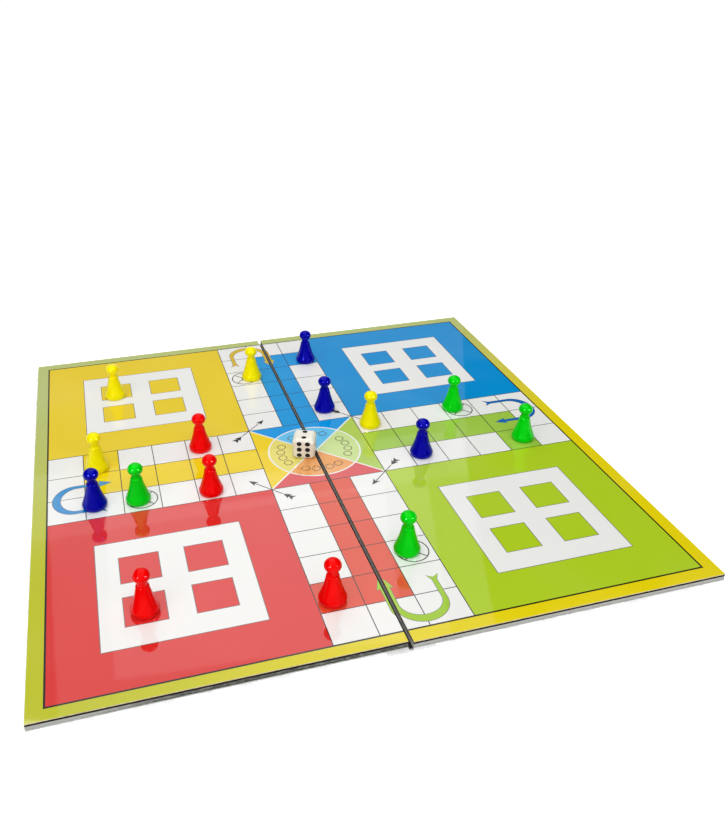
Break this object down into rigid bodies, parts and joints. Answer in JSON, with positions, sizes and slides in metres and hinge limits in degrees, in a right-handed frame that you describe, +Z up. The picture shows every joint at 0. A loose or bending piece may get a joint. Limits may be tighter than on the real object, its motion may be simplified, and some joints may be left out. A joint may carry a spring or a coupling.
{
  "type": "folding game board with pawns and die",
  "caption": "Square laminated game board in two hinged halves, printed on both faces, with hollow moulded pawns and a die standing on its cross-shaped race track.",
  "frame": {"origin": "middle of the underside, under the slit", "axes": "+Z up out of the track side, +Y along the slit, +X towards the half that folds"},
  "size_m": [0.3454, 0.343, 0.0293],
  "materials": {
    "track_print": "offset print, glossy under film",
    "ladder_print": "offset print, glossy under film",
    "dark_board": "dark pressed board, cut edge",
    "grey_board": "speckled grey recycled board, cut edge",
    "clear_film": "clear glossy laminating film",
    "hinge_film": "clear flexible tape",
    "die_ivory": "moulded ivory plastic",
    "die_paint": "black paint in dimples",
    "yellow_plastic": "moulded, glossy",
    "red_plastic": "moulded, glossy",
    "blue_plastic": "moulded, glossy",
    "green_plastic": "moulded, glossy"
  },
  "bodies": {
    "left_half": {"upper_ply_left": "dark_board", "lower_ply_left": "grey_board", "ludo_sheet_left": "track_print", "ladder_sheet_left": "ladder_print", "top_film_left": "clear_film", "base_film_left": "clear_film", "hinge_tape": "hinge_film"},
    "right_half": {"upper_ply_right": "dark_board", "lower_ply_right": "grey_board", "ludo_sheet_right": "track_print", "ladder_sheet_right": "ladder_print", "top_film_right": "clear_film", "base_film_right": "clear_film"},
    "die": {"die_cube": "die_ivory", "die_pips": "die_paint"},
    "yellow_pawn_1": {"yellow_pawn_1": "yellow_plastic"},
    "yellow_pawn_2": {"yellow_pawn_2": "yellow_plastic"},
    "yellow_pawn_3": {"yellow_pawn_3": "yellow_plastic"},
    "yellow_pawn_4": {"yellow_pawn_4": "yellow_plastic"},
    "red_pawn_1": {"red_pawn_1": "red_plastic"},
    "red_pawn_2": {"red_pawn_2": "red_plastic"},
    "red_pawn_3": {"red_pawn_3": "red_plastic"},
    "red_pawn_4": {"red_pawn_4": "red_plastic"},
    "blue_pawn_1": {"blue_pawn_1": "blue_plastic"},
    "blue_pawn_2": {"blue_pawn_2": "blue_plastic"},
    "blue_pawn_3": {"blue_pawn_3": "blue_plastic"},
    "blue_pawn_4": {"blue_pawn_4": "blue_plastic"},
    "green_pawn_1": {"green_pawn_1": "green_plastic"},
    "green_pawn_2": {"green_pawn_2": "green_plastic"},
    "green_pawn_3": {"green_pawn_3": "green_plastic"},
    "green_pawn_4": {"green_pawn_4": "green_plastic"}
  },
  "joints": [
    {"name": "board_fold", "type": "hinge", "parent": "left_half", "child": "right_half", "pos_m": [0, 0, -0.00015], "axis": [0, 1, 0], "range_deg": [0, 180], "deforming": ["hinge_tape"]},
    {"name": "die_lift", "type": "slide", "parent": "left_half", "child": "die", "axis": [0, 0, 1], "range_m": [0, 0.06]},
    {"name": "yellow_pawn_1_lift", "type": "slide", "parent": "left_half", "child": "yellow_pawn_1", "axis": [0, 0, 1], "range_m": [0, 0.06]},
    {"name": "yellow_pawn_2_lift", "type": "slide", "parent": "left_half", "child": "yellow_pawn_2", "axis": [0, 0, 1], "range_m": [0, 0.06]},
    {"name": "yellow_pawn_3_lift", "type": "slide", "parent": "left_half", "child": "yellow_pawn_3", "axis": [0, 0, 1], "range_m": [0, 0.06]},
    {"name": "yellow_pawn_4_lift", "type": "slide", "parent": "right_half", "child": "yellow_pawn_4", "axis": [0, 0, 1], "range_m": [0, 0.06]},
    {"name": "red_pawn_1_lift", "type": "slide", "parent": "left_half", "child": "red_pawn_1", "axis": [0, 0, 1], "range_m": [0, 0.06]},
    {"name": "red_pawn_2_lift", "type": "slide", "parent": "left_half", "child": "red_pawn_2", "axis": [0, 0, 1], "range_m": [0, 0.06]},
    {"name": "red_pawn_3_lift", "type": "slide", "parent": "left_half", "child": "red_pawn_3", "axis": [0, 0, 1], "range_m": [0, 0.06]},
    {"name": "red_pawn_4_lift", "type": "slide", "parent": "left_half", "child": "red_pawn_4", "axis": [0, 0, 1], "range_m": [0, 0.06]},
    {"name": "blue_pawn_1_lift", "type": "slide", "parent": "left_half", "child": "blue_pawn_1", "axis": [0, 0, 1], "range_m": [0, 0.06]},
    {"name": "blue_pawn_2_lift", "type": "slide", "parent": "right_half", "child": "blue_pawn_2", "axis": [0, 0, 1], "range_m": [0, 0.06]},
    {"name": "blue_pawn_3_lift", "type": "slide", "parent": "right_half", "child": "blue_pawn_3", "axis": [0, 0, 1], "range_m": [0, 0.06]},
    {"name": "blue_pawn_4_lift", "type": "slide", "parent": "right_half", "child": "blue_pawn_4", "axis": [0, 0, 1], "range_m": [0, 0.06]},
    {"name": "green_pawn_1_lift", "type": "slide", "parent": "left_half", "child": "green_pawn_1", "axis": [0, 0, 1], "range_m": [0, 0.06]},
    {"name": "green_pawn_2_lift", "type": "slide", "parent": "right_half", "child": "green_pawn_2", "axis": [0, 0, 1], "range_m": [0, 0.06]},
    {"name": "green_pawn_3_lift", "type": "slide", "parent": "right_half", "child": "green_pawn_3", "axis": [0, 0, 1], "range_m": [0, 0.06]},
    {"name": "green_pawn_4_lift", "type": "slide", "parent": "right_half", "child": "green_pawn_4", "axis": [0, 0, 1], "range_m": [0, 0.06]}
  ]
}
